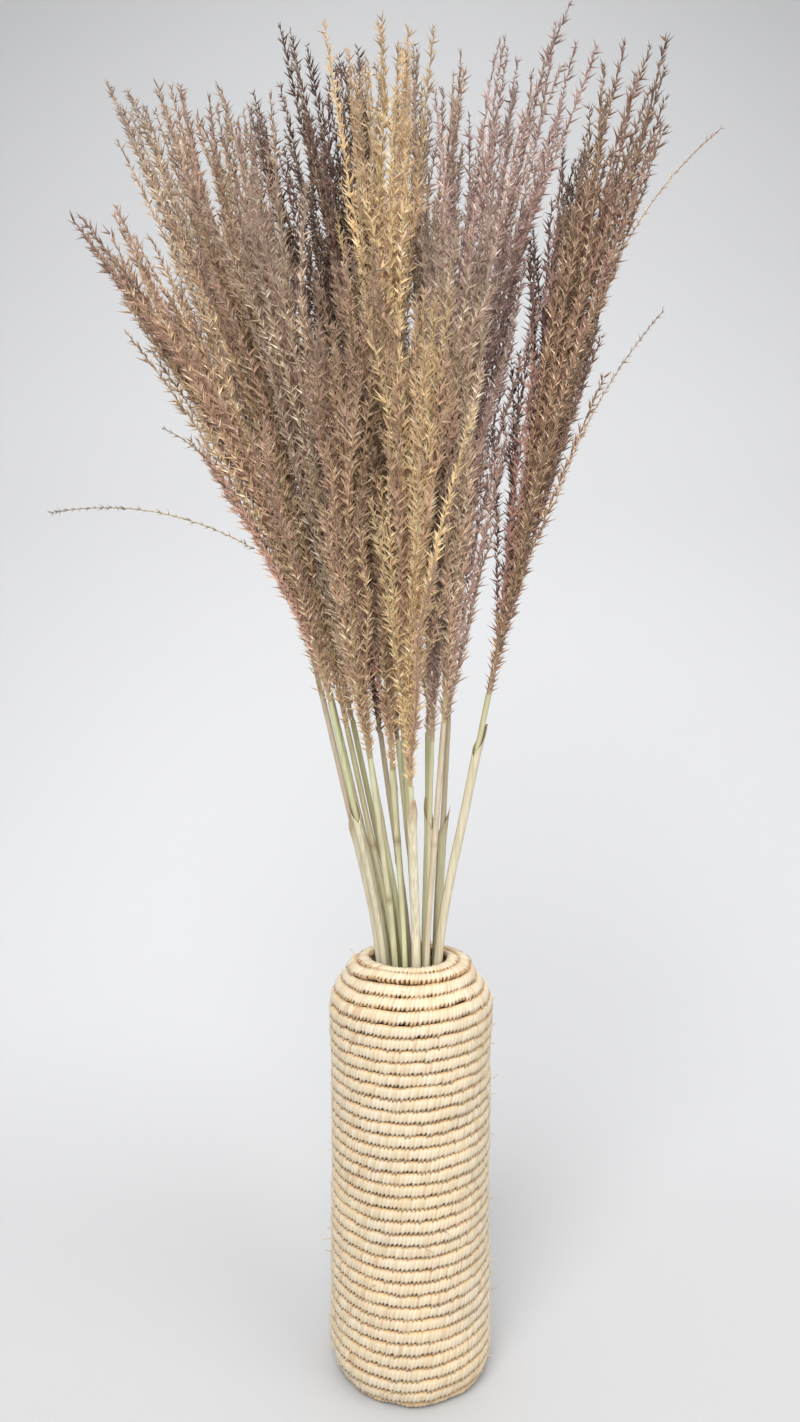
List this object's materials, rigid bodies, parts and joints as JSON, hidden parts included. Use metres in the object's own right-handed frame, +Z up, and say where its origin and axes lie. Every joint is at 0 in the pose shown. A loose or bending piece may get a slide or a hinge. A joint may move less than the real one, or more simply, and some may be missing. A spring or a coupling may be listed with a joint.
{
  "type": "bundle of dried miscanthus in a vase",
  "caption": "A bunch of cut, dried miscanthus grass with tall feathery plumes, standing upright in a narrow-mouthed coiled raffia vase.",
  "frame": {"origin": "middle of the vase's flat base, on the surface it stands on", "axes": "+Z up along the vase and the stems, -Y towards the front of the bunch, +X to its right"},
  "size_m": [0.4503, 0.2152, 1.03],
  "materials": {
    "raffia": "matt wrapped plant fibre",
    "culm": "dry, faintly waxy straw",
    "leaf_sheath": "dry leaf, fine parallel veins",
    "plume": "silky hairs on fine dry racemes"
  },
  "bodies": {
    "root": {"vase": "raffia", "culm_front_left": "culm", "plume_front_left": "plume", "culm_front_mid_left": "culm", "plume_front_mid_left": "plume", "culm_front_mid_right": "culm", "plume_front_mid_right": "plume", "sheath_front_mid_right": "leaf_sheath", "culm_front_right": "culm", "plume_front_right": "plume", "culm_mid_far_left": "culm", "plume_mid_far_left": "plume", "sheath_mid_far_left": "leaf_sheath", "culm_mid_left": "culm", "plume_mid_left": "plume", "culm_mid_centre_left": "culm", "plume_mid_centre_left": "plume", "culm_mid_centre": "culm", "plume_mid_centre": "plume", "culm_mid_right": "culm", "plume_mid_right": "plume", "sheath_mid_right": "leaf_sheath", "culm_mid_far_right": "culm", "plume_mid_far_right": "plume", "sheath_mid_far_right": "leaf_sheath", "culm_back_far_left": "culm", "plume_back_far_left": "plume", "sheath_back_far_left": "leaf_sheath", "culm_back_left": "culm", "plume_back_left": "plume", "culm_back_centre_left": "culm", "plume_back_centre_left": "plume", "culm_back_centre": "culm", "plume_back_centre": "plume", "culm_back_mid": "culm", "plume_back_mid": "plume", "culm_back_centre_right": "culm", "plume_back_centre_right": "plume", "culm_back_right": "culm", "plume_back_right": "plume", "sheath_back_right": "leaf_sheath", "culm_rear_right": "culm", "plume_rear_right": "plume", "culm_rear_centre": "culm", "plume_rear_centre": "plume", "stray_raceme_low_left": "plume", "stray_raceme_mid_left": "plume", "stray_raceme_high_right": "plume", "stray_raceme_mid_right": "plume"}
  },
  "joints": []
}
